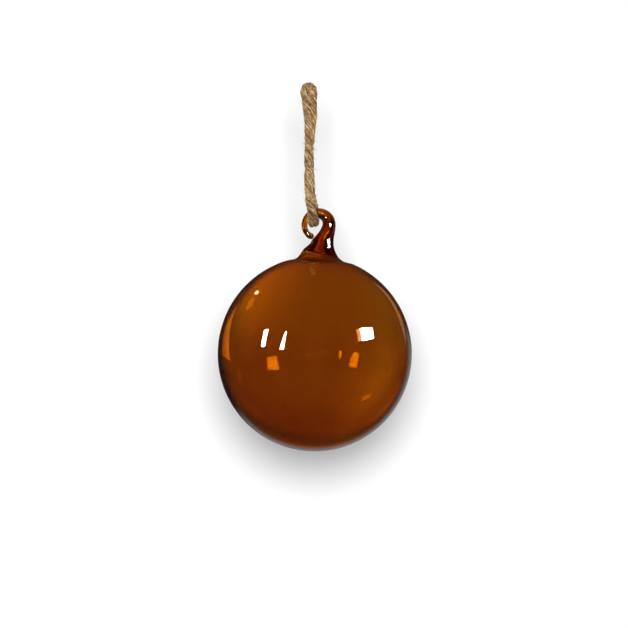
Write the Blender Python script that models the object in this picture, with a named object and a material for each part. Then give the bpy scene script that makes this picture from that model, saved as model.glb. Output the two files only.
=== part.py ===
"""A mouth-blown christmas bauble of amber glass, hanging from a loop of jute twine.

The glass is one piece: the ball, the neck drawn up from it, and the hook that the neck is bent
into. The twine goes through the eye of the hook and closes in a loop at the hanging point.

Metres, +Z up. The origin is the hanging point, inside the top of the twine loop, and the bauble
hangs below it. The hook lies in the XZ plane, so its eye is seen along Y.
"""

from math import cos, pi, sin

import bmesh
import bpy
import numpy as np
from mathutils import Vector

# The ball, which is a little taller than it is wide
BALL_RADIUS = 0.0400
BALL_HALF_HEIGHT = 0.0402
BALL_CENTRE = Vector((0.0024, 0, -0.1087))
BALL_SEGMENTS = 60
BALL_RINGS = 30

# The neck and hook: sections of the drawn glass from inside the ball to the rounded tip. Each is
# x and z of its edge on the eye's side, x and z of its outer edge, y of its middle, and how far it
# goes in front of its middle and behind, from the ball's centre. The neck spreads into the ball.
HOOK_STATIONS = (
    (-0.00900, 0.03620, 0.01260, 0.03520, 0.00000, 0.00900),
    (-0.00735, 0.03940, 0.01130, 0.03840, 0.00000, 0.00760),
    (-0.00645, 0.04040, 0.00990, 0.03970, 0.00000, 0.00560),
    (-0.00550, 0.04170, 0.00905, 0.04110, 0.00000, 0.00515),
    (-0.00445, 0.04330, 0.00835, 0.04250, 0.00000, 0.00498),
    (-0.00315, 0.04445, 0.00790, 0.04390, 0.00000, 0.00480),
    (-0.00190, 0.04570, 0.00765, 0.04530, 0.00000, 0.00462),
    (-0.00105, 0.04730, 0.00762, 0.04690, 0.00000, 0.00440),
    (0.00025, 0.04870, 0.00785, 0.04860, 0.00000, 0.00425),
    (0.00170, 0.05040, 0.00830, 0.05080, 0.00000, 0.00410),
    (0.00265, 0.05190, 0.00855, 0.05300, 0.00000, 0.00380),
    (0.00325, 0.05350, 0.00820, 0.05560, 0.00000, 0.00330),
    (0.00295, 0.05500, 0.00690, 0.05780, 0.00000, 0.00275),
    (0.00190, 0.05590, 0.00460, 0.05950, 0.00000, 0.00235),
    (0.00060, 0.05635, 0.00160, 0.06015, 0.00000, 0.00200),
    (-0.00090, 0.05620, -0.00180, 0.05930, -0.00010, 0.00180),
    (-0.00230, 0.05515, -0.00410, 0.05715, -0.00030, 0.00178),
    (-0.00293, 0.05340, -0.00530, 0.05390, -0.00060, 0.00180),
    (-0.00275, 0.05150, -0.00500, 0.05080, -0.00095, 0.00178),
    (-0.00195, 0.05020, -0.00360, 0.04846, -0.00135, 0.00172),
    (-0.00150, 0.04995, -0.00275, 0.04765, -0.00155, 0.00165),
    (-0.00115, 0.04975, -0.00195, 0.04735, -0.00170, 0.00150),
)
HOOK_RINGS = 66
TIP_RINGS = 4

# The drawn glass has soft lobes, which wind around it as ridges from the ball to the tip.
SECTION_SIDES = 24
SECTION_LOBES = 3
LOBE_HEIGHT = 0.03
LOBE_TWIST = 1.4 * pi

# The twine: the middle of the strand from the bottom of the eye, up the front leg, over the
# hanging point and down the rear leg, back to the eye.
TWINE_RADIUS = 0.0017
TWINE_POINTS = 66
TWINE_BEVEL_RESOLUTION = 2
TWINE_ROUTE = (
    (0.00195, 0.00000, -0.05445),
    (0.00185, -0.00270, -0.05335),
    (0.00155, -0.00385, -0.05110),
    (0.00095, -0.00375, -0.04870),
    (0.00030, -0.00295, -0.04620),
    (-0.00005, -0.00220, -0.04320),
    (-0.00015, -0.00190, -0.03950),
    (-0.00015, -0.00190, -0.03300),
    (-0.00010, -0.00190, -0.02500),
    (-0.00005, -0.00190, -0.01800),
    (-0.00030, -0.00190, -0.01250),
    (-0.00075, -0.00200, -0.00800),
    (-0.00130, -0.00215, -0.00420),
    (-0.00175, -0.00225, -0.00110),
    (-0.00124, -0.00159, 0.00092),
    (0.00000, 0.00000, 0.00175),
    (0.00124, 0.00159, 0.00092),
    (0.00175, 0.00225, -0.00110),
    (0.00160, 0.00220, -0.00450),
    (0.00170, 0.00205, -0.00850),
    (0.00160, 0.00190, -0.01250),
    (0.00075, 0.00190, -0.01800),
    (0.00035, 0.00190, -0.02500),
    (0.00040, 0.00190, -0.03300),
    (0.00076, 0.00195, -0.03950),
    (0.00105, 0.00220, -0.04320),
    (0.00180, 0.00295, -0.04620),
    (0.00205, 0.00375, -0.04870),
    (0.00205, 0.00385, -0.05110),
    (0.00200, 0.00270, -0.05335),
)

AMBER = (0.30, 0.075, 0.008, 1.0)
JUTE = (0.37, 0.23, 0.12, 1.0)
STEPS_PER_SPAN = 24


def clear_scene():
    for thing in list(bpy.data.objects):
        bpy.data.objects.remove(thing, do_unlink=True)


def new_collection(name):
    collection = bpy.data.collections.new(name)
    bpy.context.scene.collection.children.link(collection)
    return collection


def new_material(name, colour, roughness, transmission=0.0):
    material = bpy.data.materials.new(name)
    material.use_nodes = True
    shader = material.node_tree.nodes["Principled BSDF"]
    shader.inputs["Base Color"].default_value = colour
    shader.inputs["Roughness"].default_value = roughness
    shader.inputs["Metallic"].default_value = 0.0
    shader.inputs["Transmission Weight"].default_value = transmission
    return material


def smooth_path(points, count, closed):
    """count rows, evenly spaced along a centripetal Catmull-Rom curve through points."""
    points = np.array(points)
    if closed:
        knots = np.concatenate([points[-1:], points, points[:2]])
    else:
        knots = np.concatenate([2 * points[:1] - points[1:2], points,
                                2 * points[-1:] - points[-2:-1]])
    fine = []
    for a, b, c, d in zip(knots, knots[1:], knots[2:], knots[3:]):
        spans = [np.linalg.norm(q - p) ** 0.5 for p, q in ((a, b), (b, c), (c, d))]
        t0, t1, t2, t3 = np.cumsum([0, *spans])
        for t in np.linspace(t1, t2, STEPS_PER_SPAN, endpoint=False):
            ab = ((t1 - t) * a + (t - t0) * b) / (t1 - t0)
            bc = ((t2 - t) * b + (t - t1) * c) / (t2 - t1)
            cd = ((t3 - t) * c + (t - t2) * d) / (t3 - t2)
            abc = ((t2 - t) * ab + (t - t0) * bc) / (t2 - t0)
            bcd = ((t3 - t) * bc + (t - t1) * cd) / (t3 - t1)
            fine.append(((t2 - t) * abc + (t - t1) * bcd) / (t2 - t1))
    fine.append(knots[-2])
    fine = np.array(fine)
    along = np.concatenate([[0], np.cumsum(np.linalg.norm(np.diff(fine, axis=0), axis=1))])
    at = np.linspace(0, along[-1], count, endpoint=not closed)
    return np.stack([np.interp(at, along, column) for column in fine.T], axis=1)


def section_ring(work, centre, half, depth, twist):
    """One lobed section across the drawn glass, whose half width is the vector half and whose
    half depth along Y is depth."""
    side = Vector((0, depth, 0))
    ring = []
    for i in range(SECTION_SIDES):
        angle = 2 * pi * i / SECTION_SIDES
        lobe = 1 + LOBE_HEIGHT * cos(SECTION_LOBES * (angle - twist))
        ring.append(work.verts.new(centre + lobe * (half * cos(angle) + side * sin(angle))))
    return ring


def make_hook(guides):
    """The neck and hook, as a closed solid through its sections with a rounded tip."""
    work = bmesh.new()
    rings = []
    centres = []
    rows = smooth_path(HOOK_STATIONS, HOOK_RINGS, closed=False)
    for i, (inner_x, inner_z, outer_x, outer_z, y, depth) in enumerate(rows):
        inner = Vector((inner_x, y, inner_z))
        outer = Vector((outer_x, y, outer_z))
        half = (outer - inner) / 2
        centres.append((inner + outer) / 2)
        rings.append(section_ring(work, centres[-1], half, depth, LOBE_TWIST * i / HOOK_RINGS))
    ahead = (centres[-1] - centres[-2]).normalized() * half.length
    for i in range(1, TIP_RINGS):
        angle = pi / 2 * i / TIP_RINGS
        centre = centres[-1] + ahead * sin(angle)
        left = cos(angle)
        rings.append(section_ring(work, centre, half * left, depth * left, LOBE_TWIST))
    for ring, following in zip(rings, rings[1:]):
        for i in range(SECTION_SIDES):
            k = (i + 1) % SECTION_SIDES
            work.faces.new((ring[i], ring[k], following[k], following[i]))
    pole = work.verts.new(centres[-1] + ahead)
    for i in range(SECTION_SIDES):
        work.faces.new((rings[-1][i], rings[-1][(i + 1) % SECTION_SIDES], pole))
    work.faces.new(reversed(rings[0]))
    bmesh.ops.recalc_face_normals(work, faces=work.faces)
    hook = mesh_object("neck_and_hook", work, guides)
    hook.hide_render = True
    hook.display_type = "WIRE"
    return hook


def mesh_object(name, work, collection):
    mesh = bpy.data.meshes.new(name)
    work.to_mesh(mesh)
    work.free()
    made = bpy.data.objects.new(name, mesh)
    made.location = BALL_CENTRE
    collection.objects.link(made)
    return made


def make_glass(parts, guides):
    """The ball with its drawn neck and hook, as one solid piece of glass."""
    work = bmesh.new()
    bmesh.ops.create_uvsphere(work, u_segments=BALL_SEGMENTS, v_segments=BALL_RINGS,
                              radius=BALL_RADIUS)
    bmesh.ops.scale(work, vec=(1, 1, BALL_HALF_HEIGHT / BALL_RADIUS), verts=work.verts)
    glass = mesh_object("glass_bauble", work, parts)
    join = glass.modifiers.new("join_hook", "BOOLEAN")
    join.operation = "UNION"
    join.solver = "EXACT"
    join.object = make_hook(guides)
    glass.data.shade_smooth()
    glass.data.materials.append(new_material("amber_glass", AMBER, 0.02, transmission=1.0))


def make_twine(parts):
    """The jute loop as a plain tube along the middle of the strand."""
    curve = bpy.data.curves.new("twine_loop", "CURVE")
    curve.dimensions = "3D"
    curve.bevel_depth = TWINE_RADIUS
    curve.bevel_resolution = TWINE_BEVEL_RESOLUTION
    spline = curve.splines.new("POLY")
    spline.points.add(TWINE_POINTS - 1)
    for point, place in zip(spline.points, smooth_path(TWINE_ROUTE, TWINE_POINTS, closed=True)):
        point.co = (*place, 1)
    spline.use_cyclic_u = True
    spline.use_smooth = True
    curve.materials.append(new_material("jute", JUTE, 0.9))
    parts.objects.link(bpy.data.objects.new("twine_loop", curve))


def main():
    clear_scene()
    parts = new_collection("christmas_bauble")
    guides = new_collection("guides")
    make_glass(parts, guides)
    make_twine(parts)


main()
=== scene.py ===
"""The looks of a mouth-blown amber glass bauble on a loop of jute twine, around its model."""

from math import cos, exp, pi, radians, sin, tanh

import bmesh
import bpy
import numpy as np
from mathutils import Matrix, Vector


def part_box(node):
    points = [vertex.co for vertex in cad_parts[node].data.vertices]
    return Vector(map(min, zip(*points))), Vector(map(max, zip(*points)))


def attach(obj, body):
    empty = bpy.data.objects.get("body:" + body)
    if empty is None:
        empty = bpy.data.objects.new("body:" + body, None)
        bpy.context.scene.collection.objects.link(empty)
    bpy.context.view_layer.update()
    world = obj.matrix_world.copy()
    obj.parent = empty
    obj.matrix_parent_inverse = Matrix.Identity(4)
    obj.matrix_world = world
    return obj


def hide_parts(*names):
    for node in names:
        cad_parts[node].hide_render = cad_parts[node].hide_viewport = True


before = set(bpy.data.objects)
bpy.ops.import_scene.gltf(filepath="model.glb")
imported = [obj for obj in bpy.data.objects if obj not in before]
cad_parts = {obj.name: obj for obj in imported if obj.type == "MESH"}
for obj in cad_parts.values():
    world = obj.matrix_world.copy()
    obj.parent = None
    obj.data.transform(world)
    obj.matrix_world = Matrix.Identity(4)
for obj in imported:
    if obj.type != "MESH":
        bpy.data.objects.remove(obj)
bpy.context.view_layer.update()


# --- Camera ------------------------------------------------------------------------------------
# A long lens far away, level with the shoulder of the glass, looking along +Y. The bauble hangs
# in front of it with the eye of its hook open to the view.
glass_low, glass_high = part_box("glass_bauble")
BALL_RADIUS = 0.0400
BALL_HALF_HEIGHT = 0.0402
BALL_CENTRE = Vector(((glass_low.x + glass_high.x) / 2, 0, glass_low.z + BALL_HALF_HEIGHT))
VIEW_WIDTH = 0.2590
LENS = 150
SENSOR_WIDTH = 36
CAMERA_ASIDE = -0.0003
CAMERA_ABOVE = 0.0164

camera_data = bpy.data.cameras.new("camera")
camera_data.lens = LENS
camera_data.sensor_width = SENSOR_WIDTH
camera_data.clip_end = 20
camera = bpy.data.objects.new("camera", camera_data)
camera.location = BALL_CENTRE + Vector((CAMERA_ASIDE, -VIEW_WIDTH * LENS / SENSOR_WIDTH,
                                        CAMERA_ABOVE))
camera.rotation_euler = (pi / 2, 0, 0)
bpy.context.scene.collection.objects.link(camera)
bpy.context.scene.camera = camera


# --- Glass bauble ------------------------------------------------------------------------------
# One piece of soda-lime glass, coloured in the melt and blown by mouth: a thin sealed ball, and
# above it the solid neck, which was pulled up, twisted and bent over into a hook while soft. The
# mesh is the outer skin, lofted from the bottom of the ball to the tip, and the cavity's skin.

# Sections of the drawn glass: x and z of the edge on the eye's side, x and z of the outer edge,
# y of the middle, and how far the section goes in front of it and behind, from the ball's centre.
NECK_SECTIONS = (
    (-0.01530, 0.03714, 0.01710, 0.03634, 0.00000, 0.01620),
    (-0.01240, 0.03822, 0.01560, 0.03700, 0.00000, 0.01405),
    (-0.01020, 0.03872, 0.01400, 0.03742, 0.00000, 0.01230),
    (-0.00860, 0.03905, 0.01250, 0.03782, 0.00000, 0.01040),
    (-0.00735, 0.03950, 0.01130, 0.03845, 0.00000, 0.00760),
    (-0.00645, 0.04040, 0.00990, 0.03970, 0.00000, 0.00560),
    (-0.00550, 0.04170, 0.00905, 0.04110, 0.00000, 0.00515),
    (-0.00445, 0.04330, 0.00835, 0.04250, 0.00000, 0.00498),
    (-0.00315, 0.04445, 0.00790, 0.04390, 0.00000, 0.00480),
    (-0.00190, 0.04570, 0.00765, 0.04530, 0.00000, 0.00462),
    (-0.00105, 0.04730, 0.00762, 0.04690, 0.00000, 0.00440),
    (0.00025, 0.04870, 0.00785, 0.04860, 0.00000, 0.00425),
    (0.00170, 0.05040, 0.00830, 0.05080, 0.00000, 0.00410),
    (0.00265, 0.05190, 0.00855, 0.05300, 0.00000, 0.00380),
    (0.00325, 0.05350, 0.00820, 0.05560, 0.00000, 0.00330),
    (0.00295, 0.05500, 0.00690, 0.05780, 0.00000, 0.00275),
    (0.00190, 0.05590, 0.00460, 0.05950, 0.00000, 0.00235),
    (0.00060, 0.05635, 0.00160, 0.06015, 0.00000, 0.00200),
    (-0.00090, 0.05620, -0.00180, 0.05930, -0.00010, 0.00180),
    (-0.00230, 0.05515, -0.00410, 0.05715, -0.00030, 0.00178),
    (-0.00293, 0.05340, -0.00530, 0.05390, -0.00060, 0.00180),
    (-0.00275, 0.05150, -0.00500, 0.05080, -0.00095, 0.00178),
    (-0.00195, 0.05020, -0.00360, 0.04846, -0.00135, 0.00172),
    (-0.00150, 0.04995, -0.00275, 0.04765, -0.00155, 0.00165),
    (-0.00115, 0.04975, -0.00195, 0.04735, -0.00170, 0.00150),
)
NECK_ANGLE = 62
BALL_ROWS = 151
NECK_ROWS = 170
TIP_ROWS = 11
SKIN_SIDES = 192
STEPS_PER_SPAN = 24

# The wall's thickness, how far the cavity is off the middle, and where its slanting top is.
WALL = 0.0010
CAVITY_SHIFT = Vector((0.0001, 0, 0.0004))
CAVITY_TOP_LEFT = 0.0422
CAVITY_TOP_RIGHT = 0.0394
CAVITY_EDGE_HEIGHT = 0.0005
CAVITY_EDGE_WIDTH = 0.0006
CAVITY_SIDES = 160

# What the drawing and twisting left on the neck and hook: soft lobes and fine flutes, as parts of
# the radius, and a fold at the foot of the neck, in metres.
LOBES = 3
LOBE_HEIGHT = 0.03
LOBE_GROWTH = 1.5
LOBE_TWIST = 1.4 * pi
FLUTES = 31
FLUTE_HEIGHT = 0.002
FOLD_HEIGHT = 0.0006
FOLD_LEVEL = 0.0485
FOLD_SLANT = 8
FOLD_WIDTH = 4


def smooth_path(points, count, closed):
    """count rows, evenly spaced along a centripetal Catmull-Rom curve. An open one leaves out
    its first and last points, which only give it its direction there."""
    points = np.array(points)
    if closed:
        points = np.concatenate([points[-1:], points, points[:2]])
    fine = []
    for a, b, c, d in zip(points, points[1:], points[2:], points[3:]):
        spans = [np.linalg.norm(q - p) ** 0.5 for p, q in ((a, b), (b, c), (c, d))]
        t0, t1, t2, t3 = np.cumsum([0, *spans])
        for t in np.linspace(t1, t2, STEPS_PER_SPAN, endpoint=False):
            ab = ((t1 - t) * a + (t - t0) * b) / (t1 - t0)
            bc = ((t2 - t) * b + (t - t1) * c) / (t2 - t1)
            cd = ((t3 - t) * c + (t - t2) * d) / (t3 - t2)
            abc = ((t2 - t) * ab + (t - t0) * bc) / (t2 - t0)
            bcd = ((t3 - t) * bc + (t - t1) * cd) / (t3 - t1)
            fine.append(((t2 - t) * abc + (t - t1) * bcd) / (t2 - t1))
    fine.append(points[-2])
    fine = np.array(fine)
    along = np.concatenate([[0], np.cumsum(np.linalg.norm(np.diff(fine, axis=0), axis=1))])
    at = np.linspace(0, along[-1], count, endpoint=not closed)
    return np.stack([np.interp(at, along, column) for column in fine.T], axis=1)


def ball_row(angle):
    """The section across the ball at an angle above its middle, in degrees."""
    across = BALL_RADIUS * cos(radians(angle))
    height = BALL_HALF_HEIGHT * sin(radians(angle))
    return (-across, height, across, height, 0, across)


def loft(work, rows, relief, sides, outward):
    """A closed skin through the sections, whose first and last end in a point. relief gives how
    much further out than its section the skin is, as a part of it, by row and angle."""
    rings = []
    for row, (inner_x, inner_z, outer_x, outer_z, y, depth) in enumerate(rows):
        inner = Vector((inner_x, y, inner_z))
        outer = Vector((outer_x, y, outer_z))
        centre = BALL_CENTRE + (inner + outer) / 2
        half = (outer - inner) / 2
        side = Vector((0, depth, 0))
        ring = []
        for i in range(sides):
            angle = 2 * pi * i / sides
            spoke = half * cos(angle) + side * sin(angle)
            ring.append(work.verts.new(centre + spoke * (1 + relief(row, angle, half.length))))
        rings.append(ring)
    corners = []
    for ring, following in zip(rings, rings[1:]):
        for i in range(sides):
            k = (i + 1) % sides
            corners.append((ring[i], ring[k], following[k], following[i]))
    for ring, first, second in ((rings[0], 1, 0), (rings[-1], 0, 1)):
        middle = sum((v.co for v in ring), Vector()) / sides
        pole = work.verts.new(middle)
        for i in range(sides):
            corners.append((ring[(i + first) % sides], ring[(i + second) % sides], pole))
    for face in corners:
        work.faces.new(face if outward else reversed(face))


ball_rows = [ball_row(angle) for angle in np.linspace(-89.5, NECK_ANGLE, BALL_ROWS + 1)[:-1]]
neck_guides = [ball_row(NECK_ANGLE - 4), ball_row(NECK_ANGLE), *NECK_SECTIONS]
last, before = np.array(neck_guides[-1]), np.array(neck_guides[-2])
neck_rows = smooth_path([*neck_guides, tuple(2 * last - before)], NECK_ROWS, closed=False)
tip_rows = []
last, before = neck_rows[-1], neck_rows[-2]
middle = (last[:2] + last[2:4]) / 2
half = (last[2:4] - last[:2]) / 2
ahead = middle - (before[:2] + before[2:4]) / 2
ahead *= np.linalg.norm(half) / np.linalg.norm(ahead)
for angle in np.linspace(0, pi / 2, TIP_ROWS + 1)[1:]:
    place = middle + ahead * sin(angle)
    left = max(cos(angle), 0.02)
    tip_rows.append((*(place - half * left), *(place + half * left), last[4], last[5] * left))
outer_rows = [*ball_rows, *neck_rows, *tip_rows]
fold_row = BALL_ROWS + min(range(NECK_ROWS), key=lambda i: abs(neck_rows[i][3] - FOLD_LEVEL))


def drawn_relief(row, angle, radius):
    """Twisted lobes and fine flutes along the neck and hook, and the fold where they meet."""
    t = min(1, max(0, row - BALL_ROWS) / NECK_ROWS)
    fade = min(1, max(0, (t - 0.2) * 4))
    lobe = LOBE_HEIGHT * (1 + LOBE_GROWTH * t) * cos(LOBES * (angle - LOBE_TWIST * t))
    flute = FLUTE_HEIGHT * cos(FLUTES * (angle - LOBE_TWIST * t) + 2 * sin(3 * angle))
    past = (row - fold_row - FOLD_SLANT * cos(angle)) / FOLD_WIDTH
    fold = -tanh(past) * exp(-abs(past) / 4) * sin(angle) ** 2 * FOLD_HEIGHT / radius
    return fade * (lobe + flute + fold)


# The cavity follows the outer skin, a wall's thickness inside it. It sits a little high, so the
# wall is thickest at the bottom. Its slanting top reaches up into the neck's skirt on the eye's
# side, and has a rounded edge.
skin = np.array([*ball_rows, *neck_rows])
cavity_rows = []
for row, slope in zip(skin[1::2], np.gradient(skin, axis=0)[1::2]):
    inset_row = []
    for x, z, run, rise, hand in ((row[0], row[1], slope[0], slope[1], -1),
                                  (row[2], row[3], slope[2], slope[3], 1)):
        outward = Vector((hand * rise, 0, -hand * run)).normalized()
        wall = WALL - CAVITY_SHIFT.dot(outward)
        inset_row += [x - wall * outward.x, z - wall * outward.z]
    if inset_row[3] > CAVITY_TOP_RIGHT:
        inset_row[2:] = cavity_rows[-1][2:4]
    cavity_rows.append((*inset_row, 0, row[5] - WALL * abs(outward.x)))
    if inset_row[1] > CAVITY_TOP_LEFT:
        break
left, left_height, right, right_height, _, depth = cavity_rows[-1]
for angle in np.linspace(0, pi / 2, 8)[1:]:
    rise = CAVITY_EDGE_HEIGHT * sin(angle)
    shrink = CAVITY_EDGE_WIDTH * (1 - cos(angle))
    cavity_rows.append((left + shrink, left_height + rise, right - shrink, right_height + rise, 0,
                        depth - shrink))
top = np.array(cavity_rows[-1])
middle = (top[:2] + top[2:4]) / 2
half = (top[2:4] - top[:2]) / 2
for part in np.linspace(1, 0.02, 12)[1:]:
    cavity_rows.append((*(middle - half * part), *(middle + half * part), 0, top[5] * part))

glass_work = bmesh.new()
loft(glass_work, outer_rows, drawn_relief, SKIN_SIDES, outward=True)
loft(glass_work, cavity_rows, lambda row, angle, radius: 0, CAVITY_SIDES, outward=False)
glass_mesh = bpy.data.meshes.new("glass_bauble_blown")
glass_work.to_mesh(glass_mesh)
glass_work.free()
glass_mesh.shade_smooth()
glass = bpy.data.objects.new("glass_bauble_blown", glass_mesh)
bpy.context.scene.collection.objects.link(glass)


def add(tree, kind, inputs=(), **settings):
    """A new node with its settings, whose inputs are values, or sockets or nodes to link."""
    made = tree.nodes.new(kind)
    for name, value in settings.items():
        setattr(made, name, value)
    for key, value in dict(inputs).items():
        if isinstance(value, bpy.types.Node):
            value = value.outputs[0]
        if isinstance(value, bpy.types.NodeSocket):
            tree.links.new(value, made.inputs[key])
        else:
            made.inputs[key].default_value = value
    return made


def linear(colour):
    """The linear RGBA of an sRGB colour such as "#c08040"."""
    parts = [int(colour[i:i + 2], 16) / 255 for i in (1, 3, 5)]
    return (*(p / 12.92 if p <= 0.04045 else ((p + 0.055) / 1.055) ** 2.4 for p in parts), 1)


def new_material(name):
    """A material with an empty node tree, and its output node."""
    material = bpy.data.materials.new(name)
    material.use_nodes = True
    material.node_tree.nodes.clear()
    return material, material.node_tree, add(material.node_tree, "ShaderNodeOutputMaterial")


# Soda-lime glass, amber in the melt: clear and smooth, so it shows by its colour, which deepens
# where the glass is thick, and by the lights that it mirrors.
glass_material, tree, output = new_material("amber_soda_lime_glass")
shader = add(tree, "ShaderNodeBsdfPrincipled", {
    "Base Color": linear("#bb8e3a"),
    "Roughness": 0.0,
    "IOR": 1.5,
    "Transmission Weight": 1.0,
})
absorb = add(tree, "ShaderNodeVolumeAbsorption", {"Color": linear("#e6ae00"), "Density": 540.0})
tree.links.new(shader.outputs[0], output.inputs["Surface"])
tree.links.new(absorb.outputs[0], output.inputs["Volume"])
glass_mesh.materials.append(glass_material)
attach(glass, "root")
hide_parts("glass_bauble")


# --- Twine loop --------------------------------------------------------------------------------
# Natural jute, two plies laid together with an S twist. It goes through the eye of the hook and
# up to the hanging point, as a loop. Each ply is a bundle of loosely twisted yarn.
TWINE_ROUTE = (
    (0.00195, 0.00000, -0.05445),
    (0.00185, -0.00270, -0.05335),
    (0.00155, -0.00385, -0.05110),
    (0.00095, -0.00375, -0.04870),
    (0.00030, -0.00295, -0.04620),
    (-0.00005, -0.00220, -0.04320),
    (-0.00015, -0.00190, -0.03950),
    (-0.00015, -0.00190, -0.03300),
    (-0.00010, -0.00190, -0.02500),
    (-0.00005, -0.00190, -0.01800),
    (-0.00030, -0.00190, -0.01250),
    (-0.00075, -0.00200, -0.00800),
    (-0.00130, -0.00215, -0.00420),
    (-0.00175, -0.00225, -0.00110),
    (-0.00124, -0.00159, 0.00092),
    (0.00000, 0.00000, 0.00175),
    (0.00124, 0.00159, 0.00092),
    (0.00175, 0.00225, -0.00110),
    (0.00160, 0.00220, -0.00450),
    (0.00170, 0.00205, -0.00850),
    (0.00160, 0.00190, -0.01250),
    (0.00075, 0.00190, -0.01800),
    (0.00035, 0.00190, -0.02500),
    (0.00040, 0.00190, -0.03300),
    (0.00076, 0.00195, -0.03950),
    (0.00105, 0.00220, -0.04320),
    (0.00180, 0.00295, -0.04620),
    (0.00205, 0.00375, -0.04870),
    (0.00205, 0.00385, -0.05110),
    (0.00200, 0.00270, -0.05335),
)
TWINE_POINTS = 200
twine_path = smooth_path(TWINE_ROUTE, TWINE_POINTS, closed=True)


def curve_object(name, points, closed):
    """A plain curve through the points, to grow things along."""
    data = bpy.data.curves.new(name, "CURVE")
    data.dimensions = "3D"
    spline = data.splines.new("POLY")
    spline.points.add(len(points) - 1)
    for point, place in zip(spline.points, points):
        point.co = (*place, 1)
    spline.use_cyclic_u = closed
    made = bpy.data.objects.new(name, data)
    bpy.context.scene.collection.objects.link(made)
    return made


def geometry_tree(name, numbers):
    """An empty geometry tree with named inputs for its numbers, and its input and output."""
    tree = bpy.data.node_groups.new(name, "GeometryNodeTree")
    tree.interface.new_socket("Geometry", in_out="INPUT", socket_type="NodeSocketGeometry")
    for key, value in numbers.items():
        kind = "NodeSocketInt" if isinstance(value, int) else "NodeSocketFloat"
        tree.interface.new_socket(key, in_out="INPUT", socket_type=kind)
    tree.interface.new_socket("Material", in_out="INPUT", socket_type="NodeSocketMaterial")
    tree.interface.new_socket("Geometry", in_out="OUTPUT", socket_type="NodeSocketGeometry")
    return tree, add(tree, "NodeGroupInput").outputs, add(tree, "NodeGroupOutput").inputs


def grow(name, source, tree, numbers, material):
    """The plain mesh that a geometry tree grows from a source object, which is then removed."""
    modifier = source.modifiers.new("grow", "NODES")
    modifier.node_group = tree
    for item in tree.interface.items_tree:
        if item.in_out == "INPUT" and item.name in numbers:
            modifier[item.identifier] = numbers[item.name]
        if item.in_out == "INPUT" and item.name == "Material":
            modifier[item.identifier] = material
    source.update_tag()
    evaluated = source.evaluated_get(bpy.context.evaluated_depsgraph_get())
    mesh = bpy.data.meshes.new_from_object(evaluated)
    bpy.data.objects.remove(source, do_unlink=True)
    mesh.name = name
    mesh.shade_smooth()
    made = bpy.data.objects.new(name, mesh)
    bpy.context.scene.collection.objects.link(made)
    return made


# Jute fibre: pale straw to bark brown, matt, with a faint sheen from its long cells. Each yarn has
# tones of its own along it, and the whole drifts between a reddish and a greyish brown.
jute_material, tree, output = new_material("jute_fibre")
# The yarn tone holds each yarn's own tone and also painted shade: darker inner yarns and a darker
# stretch where the twine lies in the eye of the hook.
tone = add(tree, "ShaderNodeAttribute", attribute_name="yarn_tone_and_shade")
coordinates = add(tree, "ShaderNodeTexCoord")
mottle = add(tree, "ShaderNodeTexNoise", {
    "Vector": coordinates.outputs["Object"], "Scale": 900.0, "Detail": 3.0,
})
mixed = add(tree, "ShaderNodeMath", {0: mottle, 1: 1.0, 2: -0.5}, operation="MULTIPLY_ADD")
mixed = add(tree, "ShaderNodeMath", {0: tone.outputs["Fac"], 1: mixed}, operation="ADD")
colours = add(tree, "ShaderNodeValToRGB", {"Fac": mixed})
ramp = colours.color_ramp.elements
ramp[0].position, ramp[0].color = 0.0, linear("#3c2a18")
ramp[1].position, ramp[1].color = 1.0, linear("#f0e2bc")
for position, colour in ((0.22, "#6f5234"), (0.45, "#9c7b53"), (0.7, "#c2a678")):
    ramp.new(position).color = linear(colour)
drift = add(tree, "ShaderNodeTexNoise", {
    "Vector": coordinates.outputs["Object"], "Scale": 140.0, "Detail": 1.0,
})
drift = add(tree, "ShaderNodeMapRange", {"Value": drift, "From Min": 0.35, "From Max": 0.65})
cast = add(tree, "ShaderNodeMix", {
    0: drift, 6: linear("#ffeed8"), 7: linear("#f6f6ea"),
}, data_type="RGBA")
colours = add(tree, "ShaderNodeMix", {0: 1.0, 6: colours, 7: cast.outputs[2]},
              data_type="RGBA", blend_type="MULTIPLY")
grain = add(tree, "ShaderNodeBump", {
    "Height": mottle.outputs["Fac"], "Strength": 0.4, "Distance": 0.0001,
})
shader = add(tree, "ShaderNodeBsdfPrincipled", {
    "Base Color": colours.outputs[2],
    "Normal": grain.outputs["Normal"],
    "Roughness": 0.82,
    "Sheen Weight": 0.05,
    "Specular IOR Level": 0.3,
})
tree.links.new(shader.outputs["BSDF"], output.inputs["Surface"])

# The plies are flattened against each other. Each is a bundle of yarns, YARN_STEP radians apart
# around it and packed towards its skin, and loose fibres stand out of them all along. In the eye
# the twine is pressed on the glass, so it spreads there, and it is painted darker there as shade.
YARN_STEP = 1.2
YARN_PACKING = 0.38
EYE_SPREAD = 0.35
EYE_PAINTED_SHADE = -0.22
twine_numbers = {
    "Yarns": 66,
    "Lay turns": -6.0,
    "Yarn turns": -5.0,
    "Ply offset": 0.00066,
    "Ply depth": 0.00096,
    "Ply width": 0.00140,
    "Yarn radius": 0.00017,
    "Wander": 0.0009,
    "Fray": 0.0004,
    "Fibres on an area": 600000.0,
    "Fibre radius": 0.000034,
}
tree, given, result = geometry_tree("laid_twine", twine_numbers)
even = add(tree, "GeometryNodeResampleCurve", {"Curve": given["Geometry"], "Length": 0.0006},
           mode="LENGTH")
frame_kept = add(tree, "GeometryNodeCaptureAttribute", {0: even}, domain="POINT")
for kind, name in (("VECTOR", "Normal"), ("VECTOR", "Tangent"), ("FLOAT", "Along")):
    frame_kept.capture_items.new(kind, name)
tree.links.new(add(tree, "GeometryNodeInputNormal").outputs[0], frame_kept.inputs["Normal"])
tree.links.new(add(tree, "GeometryNodeInputTangent").outputs[0], frame_kept.inputs["Tangent"])
tree.links.new(add(tree, "GeometryNodeSplineParameter").outputs[0], frame_kept.inputs["Along"])
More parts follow.
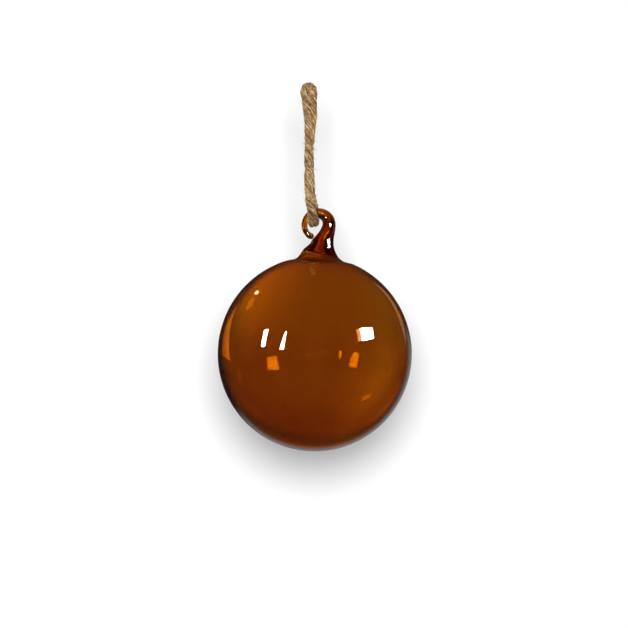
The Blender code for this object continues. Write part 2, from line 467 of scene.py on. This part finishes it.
normal, tangent, along = (frame_kept.outputs[name] for name in ("Normal", "Tangent", "Along"))
side = add(tree, "ShaderNodeVectorMath", {0: tangent, 1: normal}, operation="CROSS_PRODUCT")
copies = add(tree, "GeometryNodeDuplicateElements",
             {"Geometry": frame_kept, "Amount": given["Yarns"]}, domain="SPLINE")
index = copies.outputs["Duplicate Index"]
ply = add(tree, "ShaderNodeMath", {0: index, 1: 2.0}, operation="MODULO")
rank = add(tree, "ShaderNodeMath", {0: index, 1: given["Yarns"]}, operation="DIVIDE")
depth = add(tree, "ShaderNodeMath", {0: rank, 1: YARN_PACKING}, operation="POWER")
turned = add(tree, "ShaderNodeMath", {0: along, 1: given["Yarn turns"]}, operation="MULTIPLY")
turned = add(tree, "ShaderNodeMath", {0: turned, 1: 2 * pi}, operation="MULTIPLY")
yarn_angle = add(tree, "ShaderNodeMath", {0: index, 1: YARN_STEP, 2: turned},
                 operation="MULTIPLY_ADD")
outward = add(tree, "ShaderNodeMath", {0: yarn_angle}, operation="COSINE")
outward = add(tree, "ShaderNodeMath", {0: outward, 1: depth}, operation="MULTIPLY")
outward = add(tree, "ShaderNodeMath", {0: outward, 1: given["Ply depth"], 2: given["Ply offset"]},
              operation="MULTIPLY_ADD")
sideways = add(tree, "ShaderNodeMath", {0: yarn_angle}, operation="SINE")
sideways = add(tree, "ShaderNodeMath", {0: sideways, 1: depth}, operation="MULTIPLY")
sideways = add(tree, "ShaderNodeMath", {0: sideways, 1: given["Ply width"]}, operation="MULTIPLY")
outward = add(tree, "ShaderNodeVectorMath", {0: normal, "Scale": outward}, operation="SCALE")
sideways = add(tree, "ShaderNodeVectorMath", {0: side, "Scale": sideways}, operation="SCALE")
offset = add(tree, "ShaderNodeVectorMath", {0: outward, 1: sideways}, operation="ADD")
near_eye = add(tree, "ShaderNodeMath", {0: along, 1: 0.5}, operation="SUBTRACT")
near_eye = add(tree, "ShaderNodeMath", {0: near_eye}, operation="ABSOLUTE")
near_eye = add(tree, "ShaderNodeMapRange", {
    "Value": near_eye, "From Min": 0.41, "From Max": 0.49,
}, interpolation_type="SMOOTHSTEP")
spread = add(tree, "ShaderNodeMath", {0: near_eye, 1: EYE_SPREAD, 2: 1.0},
             operation="MULTIPLY_ADD")
offset = add(tree, "ShaderNodeVectorMath", {0: offset, "Scale": spread}, operation="SCALE")
lay = add(tree, "ShaderNodeMath", {0: along, 1: given["Lay turns"]}, operation="MULTIPLY")
lay = add(tree, "ShaderNodeMath", {0: ply, 1: 0.5, 2: lay}, operation="MULTIPLY_ADD")
lay = add(tree, "ShaderNodeMath", {0: lay, 1: 2 * pi}, operation="MULTIPLY")
laid = add(tree, "ShaderNodeVectorRotate", {"Vector": offset, "Axis": tangent, "Angle": lay},
           rotation_type="AXIS_ANGLE")
place = add(tree, "GeometryNodeInputPosition")
shift = add(tree, "ShaderNodeMath", {0: index, 1: 7.3}, operation="MULTIPLY")
noise = add(tree, "ShaderNodeTexNoise", {"Vector": place, "W": shift, "Scale": 240.0,
                                         "Detail": 2.0}, noise_dimensions="4D")
wander = add(tree, "ShaderNodeVectorMath", {0: noise.outputs["Color"], 1: (0.5, 0.5, 0.5)},
             operation="SUBTRACT")
wander = add(tree, "ShaderNodeVectorMath", {0: wander, "Scale": given["Wander"]},
             operation="SCALE")
laid = add(tree, "ShaderNodeVectorMath", {0: laid, 1: wander}, operation="ADD")
rough = add(tree, "ShaderNodeTexNoise", {"Vector": place, "W": shift, "Scale": 900.0,
                                         "Detail": 1.0}, noise_dimensions="4D")
fray = add(tree, "ShaderNodeVectorMath", {0: rough.outputs["Color"], 1: (0.5, 0.5, 0.5)},
           operation="SUBTRACT")
fray = add(tree, "ShaderNodeVectorMath", {0: fray, "Scale": given["Fray"]}, operation="SCALE")
laid = add(tree, "ShaderNodeVectorMath", {0: laid, 1: fray}, operation="ADD")
yarns = add(tree, "GeometryNodeSetPosition", {"Geometry": copies, "Offset": laid})
tone = add(tree, "FunctionNodeRandomValue", {2: -0.32, 3: 0.30, "ID": index, "Seed": 8},
           data_type="FLOAT")
# Painted shade: the twine in the eye of the hook is made darker.
tone = add(tree, "ShaderNodeMath", {0: near_eye, 1: EYE_PAINTED_SHADE, 2: tone.outputs[1]},
           operation="MULTIPLY_ADD")
# Painted shade: the inner yarns are darker, so the gaps between the outer ones look shaded.
tone = add(tree, "ShaderNodeMath", {0: depth, 1: 0.5, 2: tone}, operation="MULTIPLY_ADD")
streak = add(tree, "ShaderNodeTexNoise", {"Vector": place, "W": shift, "Scale": 420.0,
                                          "Detail": 2.0}, noise_dimensions="4D")
streak = add(tree, "ShaderNodeMath", {0: streak, 1: 0.5}, operation="SUBTRACT")
tone = add(tree, "ShaderNodeMath", {0: streak, 1: 2.1, 2: tone}, operation="MULTIPLY_ADD")
yarns = add(tree, "GeometryNodeStoreNamedAttribute",
            {"Geometry": yarns, "Name": "yarn_tone_and_shade", "Value": tone},
            data_type="FLOAT", domain="POINT")
round_profile = add(tree, "GeometryNodeCurvePrimitiveCircle", {
    "Resolution": 5, "Radius": given["Yarn radius"],
})
yarns = add(tree, "GeometryNodeCurveToMesh", {"Curve": yarns, "Profile Curve": round_profile})

core_profile = add(tree, "GeometryNodeCurvePrimitiveCircle", {
    "Resolution": 10, "Radius": given["Ply width"],
})
core = add(tree, "GeometryNodeCurveToMesh", {"Curve": even, "Profile Curve": core_profile})
roots = add(tree, "GeometryNodeDistributePointsOnFaces", {
    "Mesh": core, "Density": given["Fibres on an area"], "Seed": 5,
}, distribute_method="RANDOM")
bow = add(tree, "GeometryNodeCurveQuadraticBezier", {
    "Resolution": 7, "Start": (0, 0, 0), "Middle": (0.0008, 0, 0.0014), "End": (0.0002, 0, 0.0028),
})
lean = add(tree, "FunctionNodeRandomValue", {0: (-1.2, -1.2, -3.14), 1: (1.2, 1.2, 3.14),
                                             "Seed": 12}, data_type="FLOAT_VECTOR")
size = add(tree, "FunctionNodeRandomValue", {2: 0.25, 3: 1.0, "Seed": 4}, data_type="FLOAT")
hairs = add(tree, "GeometryNodeInstanceOnPoints", {
    "Points": roots, "Instance": bow, "Rotation": lean, "Scale": size.outputs[1],
})
hairs = add(tree, "GeometryNodeRealizeInstances", {"Geometry": hairs})
curl = add(tree, "ShaderNodeTexNoise", {"Vector": place, "Scale": 330.0, "Detail": 1.0},
           noise_dimensions="3D")
curl = add(tree, "ShaderNodeVectorMath", {0: curl.outputs["Color"], 1: (0.5, 0.5, 0.5)},
           operation="SUBTRACT")
curl = add(tree, "ShaderNodeVectorMath", {0: curl, "Scale": 0.0012}, operation="SCALE")
hairs = add(tree, "GeometryNodeSetPosition", {"Geometry": hairs, "Offset": curl})
hairs = add(tree, "GeometryNodeStoreNamedAttribute",
            {"Geometry": hairs, "Name": "yarn_tone_and_shade", "Value": 0.35},
            data_type="FLOAT", domain="POINT")
hair_profile = add(tree, "GeometryNodeCurvePrimitiveCircle", {
    "Resolution": 3, "Radius": given["Fibre radius"],
})
hairs = add(tree, "GeometryNodeCurveToMesh", {"Curve": hairs, "Profile Curve": hair_profile,
                                              "Fill Caps": True})
joined = add(tree, "GeometryNodeJoinGeometry")
tree.links.new(yarns.outputs[0], joined.inputs[0])
tree.links.new(hairs.outputs[0], joined.inputs[0])
real = add(tree, "GeometryNodeRealizeInstances", {"Geometry": joined})
painted = add(tree, "GeometryNodeSetMaterial", {"Geometry": real, "Material": given["Material"]})
tree.links.new(painted.outputs[0], result["Geometry"])

twine_line = curve_object("twine_line", twine_path, closed=True)
twine = grow("twine_two_ply", twine_line, tree, twine_numbers, jute_material)
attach(twine, "root")
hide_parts("twine_loop")


# --- Studio ------------------------------------------------------------------------------------
# A wide pale floor, and a sheet of white paper that hangs close behind and curves down onto it.
# The paper is seen only from its front. Low down it glows a little, as the floor does, which is
# opal acrylic lit from below. The glass shows the room instead of them.
WALL_GAP = 0.130
WALL_HEIGHT = 0.750
WALL_REACH = 0.400
FLOOR_DEPTH = 0.300
FLOOR_REACH = 4.0
COVE = 0.060

floor_z = BALL_CENTRE.z - FLOOR_DEPTH

# Matt white paper and opal acrylic: they scatter all light and mirror none.
white_material, tree, output = new_material("matt_white_paper")
height = add(tree, "ShaderNodeSeparateXYZ", {0: add(tree, "ShaderNodeTexCoord").outputs["Object"]})
lit_below = add(tree, "ShaderNodeMapRange", {
    "Value": height.outputs["Z"], "From Min": floor_z + 0.12, "From Max": floor_z, "To Min": 0.08,
    "To Max": 0.65,
}, interpolation_type="SMOOTHSTEP")
shader = add(tree, "ShaderNodeBsdfPrincipled", {
    "Base Color": linear("#e8e8e8"), "Roughness": 1.0, "Specular IOR Level": 0.0,
    "Emission Color": (1, 1, 1, 1), "Emission Strength": lit_below,
})
facing = add(tree, "ShaderNodeNewGeometry")
clear = add(tree, "ShaderNodeBsdfTransparent")
seen = add(tree, "ShaderNodeMixShader", {
    0: facing.outputs["Backfacing"], 1: shader.outputs["BSDF"], 2: clear.outputs["BSDF"],
})
tree.links.new(seen.outputs["Shader"], output.inputs["Surface"])

wall_profile = [(WALL_GAP, floor_z + WALL_HEIGHT)]
for i in range(17):
    angle = pi / 2 * i / 16
    wall_profile.append((WALL_GAP - COVE + COVE * cos(angle), floor_z + COVE - COVE * sin(angle)))
floor_profile = [(FLOOR_REACH, floor_z), (-FLOOR_REACH, floor_z)]
for name, reach, profile in (("studio_wall", WALL_REACH, wall_profile),
                             ("studio_floor", FLOOR_REACH, floor_profile)):
    places = [(x, y, z) for y, z in profile for x in (-reach, reach)]
    quads = [(2 * i, 2 * i + 2, 2 * i + 3, 2 * i + 1) for i in range(len(profile) - 1)]
    stage_mesh = bpy.data.meshes.new(name)
    stage_mesh.from_pydata(places, [], quads)
    stage_mesh.shade_smooth()
    stage_mesh.materials.append(white_material)
    stage = bpy.data.objects.new(name, stage_mesh)
    bpy.context.scene.collection.objects.link(stage)
    stage.visible_glossy = False
    stage.visible_transmission = False
    stage.visible_diffuse = name == "studio_wall"

# A soft round lamp above the camera, which shines at the ball and throws its shadow on the paper.
lamp_data = bpy.data.lights.new("key_light", "AREA")
lamp_data.energy = 12.1
lamp_data.shape = "DISK"
lamp_data.size = 0.225
key_lamp = bpy.data.objects.new("key_light", lamp_data)
key_lamp.location = camera.location + Vector((0, 0, 0.089))
key_lamp.rotation_mode = "QUATERNION"
key_lamp.rotation_quaternion = (BALL_CENTRE - key_lamp.location).to_track_quat("-Z", "Y")
key_lamp.visible_camera = False
key_lamp.visible_glossy = False
key_lamp.visible_transmission = False
bpy.context.scene.collection.objects.link(key_lamp)

# The windows of the room, the sunlit wood beside one, and a small lamp. Each is a panel, whose
# mirror image has these corners: x and z in metres from the ball's centre, on its front where the
# side is -1, and inside its back where it is 1. The panel stands this far from that image, and is
# seen only in it: what comes from the back has gone through four surfaces of the glass.
WINDOWS = (
    ("right_window", "#fffcf9", 210.0, 0.230, -1, ((0.0180, 0.0105), (0.0229, 0.0109),
                                                   (0.0236, 0.0065), (0.0189, 0.0056))),
    ("right_window_frame", "#ffb060", 14.0, 0.230, -1, ((0.0166, 0.0100), (0.0179, 0.0104),
                                                        (0.0187, 0.0057), (0.0174, 0.0054))),
    ("left_window", "#fffcf9", 240.0, 0.165, -1, ((-0.0199, 0.0101), (-0.0186, 0.0102),
                                                  (-0.0199, 0.0035), (-0.0213, 0.0034))),
    ("door_window", "#fffcf9", 160.0, 0.080, -1, ((-0.0117, 0.0092), (-0.0111, 0.0093),
                                                  (-0.0124, 0.0023), (-0.0139, 0.0024))),
    ("small_lamp", "#ffe2b4", 14.0, 0.300, -1, ((-0.0236, 0.0256), (-0.0225, 0.0251),
                                                (-0.0233, 0.0240), (-0.0247, 0.0243))),
    ("right_window_inside", "#d7ffe8", 300.0, 0.230, 1, ((-0.0214, -0.0023), (-0.0165, -0.0015),
                                                         (-0.0155, -0.0075), (-0.0207, -0.0075))),
    ("left_window_inside", "#d7ffe8", 340.0, 0.230, 1, ((0.0163, 0.0001), (0.0193, -0.0002),
                                                        (0.0182, -0.0065), (0.0148, -0.0060))),
    ("door_window_inside", "#d7ffe8", 240.0, 0.230, 1, ((0.0104, 0.0008), (0.0116, 0.0007),
                                                        (0.0111, -0.0032), (0.0103, -0.0030))),
)
for name, colour, brightness, distance, side, corners in WINDOWS:
    places = []
    for x, z in corners:
        facing = Vector((x, side * (BALL_RADIUS ** 2 - x * x - z * z) ** 0.5, z))
        seen = (BALL_CENTRE + facing - camera.location).normalized()
        normal_here = facing.normalized()
        away = seen - 2 * seen.dot(normal_here) * normal_here
        places.append(BALL_CENTRE + facing + away * distance)
    window_mesh = bpy.data.meshes.new(name)
    window_mesh.from_pydata(places, [], [(0, 1, 2, 3)])
    window_glow, tree, output = new_material(name + "_glow")
    glow = add(tree, "ShaderNodeEmission", {"Color": linear(colour), "Strength": brightness})
    rays = add(tree, "ShaderNodeLightPath")
    shown = add(tree, "ShaderNodeMath", {0: rays.outputs["Transmission Depth"], 1: 3.0},
                operation="LESS_THAN" if side < 0 else "GREATER_THAN")
    clear = add(tree, "ShaderNodeBsdfTransparent")
    shown = add(tree, "ShaderNodeMixShader", {0: shown, 1: clear, 2: glow})
    tree.links.new(shown.outputs[0], output.inputs["Surface"])
    window_mesh.materials.append(window_glow)
    window = bpy.data.objects.new(name, window_mesh)
    bpy.context.scene.collection.objects.link(window)
    window.visible_camera = False
    window.visible_diffuse = False
    window.visible_shadow = False

# The room around, which only the glass shows: walls with brighter and darker uprights, brightest
# just above the level, a dark skirting below it, and a pale floor under that.
world = bpy.data.worlds.new("studio")
bpy.context.scene.world = world
world.use_nodes = True
tree = world.node_tree
tree.nodes.clear()
rays = add(tree, "ShaderNodeLightPath")
direction = add(tree, "ShaderNodeTexCoord")
parts = add(tree, "ShaderNodeSeparateXYZ", {0: direction.outputs["Generated"]})
x, y, z = parts.outputs
azimuth = add(tree, "ShaderNodeMath", {0: y, 1: x}, operation="ARCTAN2")
azimuth = add(tree, "ShaderNodeMath", {0: azimuth, 1: 8.0}, operation="MULTIPLY")
swing = add(tree, "ShaderNodeMath", {0: azimuth}, operation="COSINE")
bands = add(tree, "ShaderNodeMapRange", {
    "Value": swing, "From Min": -0.4, "From Max": 0.7, "To Min": 0.12, "To Max": 1.0,
})
steep = add(tree, "ShaderNodeMath", {0: z}, operation="ABSOLUTE")
steep = add(tree, "ShaderNodeMapRange", {"Value": steep, "From Min": 0.35, "From Max": 0.7},
            interpolation_type="SMOOTHSTEP")
bands = add(tree, "ShaderNodeMix", {0: steep, 2: bands, 3: 0.5}, data_type="FLOAT")
slope = add(tree, "ShaderNodeMapRange", {
    "Value": z, "From Min": -0.10, "From Max": 0.10, "To Min": 0.72, "To Max": 1.20,
})
bands = add(tree, "ShaderNodeMath", {0: bands, 1: slope}, operation="MULTIPLY")
upper = add(tree, "ShaderNodeMapRange", {
    "Value": z, "From Min": 0.03, "From Max": 0.16, "To Min": 1.0, "To Max": 0.55,
}, interpolation_type="SMOOTHSTEP")
bands = add(tree, "ShaderNodeMath", {0: bands, 1: upper}, operation="MULTIPLY")
under = add(tree, "ShaderNodeMath", {0: z, 1: -0.19}, operation="SUBTRACT")
under = add(tree, "ShaderNodeMath", {0: under}, operation="ABSOLUTE")
under = add(tree, "ShaderNodeMapRange", {
    "Value": under, "From Min": 0.03, "From Max": 0.08, "To Min": 0.55, "To Max": 1.0,
}, interpolation_type="SMOOTHSTEP")
bands = add(tree, "ShaderNodeMath", {0: bands, 1: under}, operation="MULTIPLY")
# Openings of the room: x and z of the middle of each, as directions, its half width and half
# height, and how bright it is. One below 0 is darker than the wall around it.
OPENINGS = (
    (-0.155, -0.002, 0.050, 0.034, 3.0),
    (0.165, 0.055, 0.040, 0.032, 3.0),
    (-0.052, 0.012, 0.006, 0.004, 1.2),
    (-0.090, -0.104, 0.020, 0.016, 0.15),
    (-0.008, -0.105, 0.026, 0.042, -0.07),
    (0.042, -0.059, 0.005, 0.003, 1.2),
)
for across, up, half_width, half_height, brightness in OPENINGS:
    inside = add(tree, "ShaderNodeMath", {0: x, 1: across, 2: half_width}, operation="COMPARE")
    level_with = add(tree, "ShaderNodeMath", {0: z, 1: up, 2: half_height}, operation="COMPARE")
    inside = add(tree, "ShaderNodeMath", {0: inside, 1: level_with}, operation="MULTIPLY")
    bands = add(tree, "ShaderNodeMath", {0: inside, 1: brightness, 2: bands},
                operation="MULTIPLY_ADD")
# Softer lights of the room: the direction of the middle of each, its reach and its brightness.
SOFT_LIGHTS = (
    ((-0.048, 0.998, 0.032), 0.054, 1.4),
    ((0.055, 0.997, -0.055), 0.060, 0.5),
    ((0.045, 0.989, -0.142), 0.095, 0.35),
    ((0.150, 0.980, -0.130), 0.100, 1.2),
)
for middle, reach, brightness in SOFT_LIGHTS:
    away = add(tree, "ShaderNodeVectorMath", {0: direction.outputs["Generated"], 1: middle},
               operation="DISTANCE")
    glow = add(tree, "ShaderNodeMapRange", {
        "Value": away.outputs["Value"], "From Min": 0.0, "From Max": reach, "To Min": brightness,
        "To Max": 0.0,
    }, interpolation_type="SMOOTHSTEP")
    bands = add(tree, "ShaderNodeMath", {0: bands, 1: glow}, operation="ADD")
floor_seen = add(tree, "ShaderNodeMapRange", {
    "Value": z, "From Min": -0.22, "From Max": -0.50, "To Max": 0.6,
}, interpolation_type="SMOOTHSTEP")
bands = add(tree, "ShaderNodeMath", {0: bands, 1: floor_seen}, operation="ADD")
# What the surface of the glass mirrors from behind it: a pale patch low down at the right, and
# a wooden edge higher up, whose bend is a line of equal x + z.
low = add(tree, "ShaderNodeMath", {0: z, 1: -2.0, 2: x}, operation="MULTIPLY_ADD")
low = add(tree, "ShaderNodeMapRange", {
    "Value": low, "From Min": 0.10, "From Max": 0.40, "To Max": 0.34,
}, interpolation_type="SMOOTHSTEP")
behind = add(tree, "ShaderNodeMapRange", {"Value": y, "From Min": 0.74, "From Max": 0.95},
             interpolation_type="SMOOTHSTEP")
mirrored = add(tree, "ShaderNodeMath", {0: low, 1: behind, 2: 0.02}, operation="MULTIPLY_ADD")
edge = add(tree, "ShaderNodeMath", {0: x, 1: z}, operation="ADD")
edge = add(tree, "ShaderNodeMath", {0: edge, 1: 0.80}, operation="SUBTRACT")
edge = add(tree, "ShaderNodeMath", {0: edge}, operation="ABSOLUTE")
edge = add(tree, "ShaderNodeMapRange", {"Value": edge, "From Min": 0.11, "From Max": 0.05},
           interpolation_type="SMOOTHSTEP")
between = add(tree, "ShaderNodeMath", {0: x, 1: 0.53}, operation="SUBTRACT")
between = add(tree, "ShaderNodeMath", {0: between}, operation="ABSOLUTE")
between = add(tree, "ShaderNodeMapRange", {"Value": between, "From Min": 0.16, "From Max": 0.08},
              interpolation_type="SMOOTHSTEP")
past = add(tree, "ShaderNodeMath", {0: y, 1: 0.65}, operation="GREATER_THAN")
edge = add(tree, "ShaderNodeMath", {0: edge, 1: between}, operation="MULTIPLY")
edge = add(tree, "ShaderNodeMath", {0: edge, 1: past}, operation="MULTIPLY")
mirrored = add(tree, "ShaderNodeMath", {0: edge, 1: 1.0, 2: mirrored}, operation="MULTIPLY_ADD")
level = add(tree, "ShaderNodeMix", {
    0: rays.outputs["Is Diffuse Ray"], 2: mirrored, 3: 0.40,
}, data_type="FLOAT")
level = add(tree, "ShaderNodeMix", {
    0: rays.outputs["Is Transmission Ray"], 2: level, 3: bands,
}, data_type="FLOAT")
level = add(tree, "ShaderNodeMix", {
    0: rays.outputs["Is Camera Ray"], 2: level, 3: 1.0,
}, data_type="FLOAT")
wood = add(tree, "ShaderNodeMath", {0: edge, 1: rays.outputs["Is Glossy Ray"]},
           operation="MULTIPLY")
wood = add(tree, "ShaderNodeMix", {
    0: wood, 6: (1, 1, 1, 1), 7: linear("#ffa44c"),
}, data_type="RGBA")
# What the glass shows of the room is golden near the level and to the sides, and redder above,
# below and far from straight ahead.
warmth = add(tree, "ShaderNodeMapRange", {"Value": z, "From Min": -0.30, "From Max": 0.10})
warmth = add(tree, "ShaderNodeValToRGB", {"Fac": warmth})
ramp = warmth.color_ramp.elements
ramp[0].position, ramp[0].color = 0.0, (0.94, 0.98, 0.92, 1)
ramp[1].position, ramp[1].color = 1.0, (1, 0.74, 0.7, 1)
for position, colour in ((0.25, (1, 0.66, 0.62, 1)), (0.5, (1, 0.70, 0.64, 1)),
                         (0.7, (0.97, 0.86, 0.8, 1)), (0.775, (0.96, 1, 0.9, 1)),
                         (0.86, (1, 0.86, 0.8, 1))):
    ramp.new(position).color = colour
sides = add(tree, "ShaderNodeMath", {0: x}, operation="ABSOLUTE")
sides = add(tree, "ShaderNodeMath", {0: x, 1: 0.25, 2: sides}, operation="MULTIPLY_ADD")
down = add(tree, "ShaderNodeMath", {0: z, 1: 0.0}, operation="MINIMUM")
left_half = add(tree, "ShaderNodeMath", {0: x, 1: 0.0}, operation="LESS_THAN")
down = add(tree, "ShaderNodeMath", {0: down, 1: left_half}, operation="MULTIPLY")
sides = add(tree, "ShaderNodeMath", {0: down, 1: 0.65, 2: sides}, operation="MULTIPLY_ADD")
sides = add(tree, "ShaderNodeMapRange", {"Value": sides, "From Min": 0.02, "From Max": 0.055})
turned = add(tree, "ShaderNodeMapRange", {"Value": y, "From Min": 0.985, "From Max": 0.94})
sides = add(tree, "ShaderNodeMath", {0: sides, 1: turned}, operation="SUBTRACT", use_clamp=True)
warmth = add(tree, "ShaderNodeMix", {
    0: sides, 6: warmth.outputs["Color"], 7: (1.10, 1.50, 1.15, 1),
}, data_type="RGBA", blend_type="MULTIPLY")
warmth = add(tree, "ShaderNodeMix", {
    0: turned, 6: warmth.outputs[2], 7: (0.74, 0.62, 0.65, 1),
}, data_type="RGBA", blend_type="MULTIPLY")
warmth = add(tree, "ShaderNodeMix", {
    0: rays.outputs["Is Transmission Ray"], 6: wood.outputs[2], 7: warmth.outputs[2],
}, data_type="RGBA")
backdrop = add(tree, "ShaderNodeBackground", {"Color": warmth.outputs[2], "Strength": level})
add(tree, "ShaderNodeOutputWorld", {"Surface": backdrop.outputs["Background"]})
bpy.context.scene.view_settings.view_transform = "Standard"
